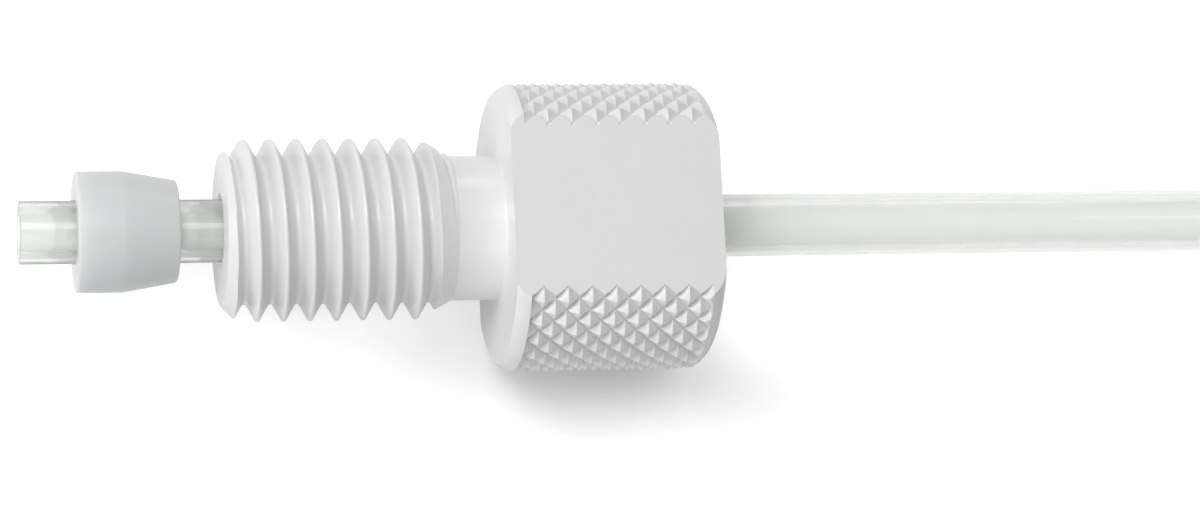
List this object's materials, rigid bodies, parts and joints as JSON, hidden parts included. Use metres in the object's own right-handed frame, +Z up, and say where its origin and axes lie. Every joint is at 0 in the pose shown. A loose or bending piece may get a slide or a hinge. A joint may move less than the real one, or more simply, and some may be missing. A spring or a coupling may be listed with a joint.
{
  "type": "fingertight tube fitting",
  "caption": "Finger-tight tube fitting: a threaded nut with a knurled, two-flat head, a loose tapered ferrule and a clear tube that runs through both.",
  "frame": {"origin": "middle of the lower wrench flat of the nut, on which the fitting lies", "axes": "+X along the tube, from the port end towards the free end; +Z up, square to the two wrench flats; +Y completes the frame"},
  "size_m": [0.0435, 0.01, 0.0076],
  "materials": {
    "nut_polymer": "white engineering polymer, satin",
    "ferrule_polymer": "natural fluoropolymer, milky and slightly blue",
    "clear_tube": "clear extruded fluoropolymer"
  },
  "bodies": {
    "nut": {"nut": "nut_polymer"},
    "tube": {"tube": "clear_tube"},
    "ferrule": {"ferrule": "ferrule_polymer"}
  },
  "joints": [
    {"name": "tube_spin", "type": "hinge", "parent": "nut", "child": "tube", "pos_m": [0, 0, 0.0038], "axis": [1, 0, 0], "continuous": true},
    {"name": "ferrule_slide", "type": "slide", "parent": "tube", "child": "ferrule", "axis": [1, 0, 0], "range_m": [-0.00189, 0.00145]}
  ]
}
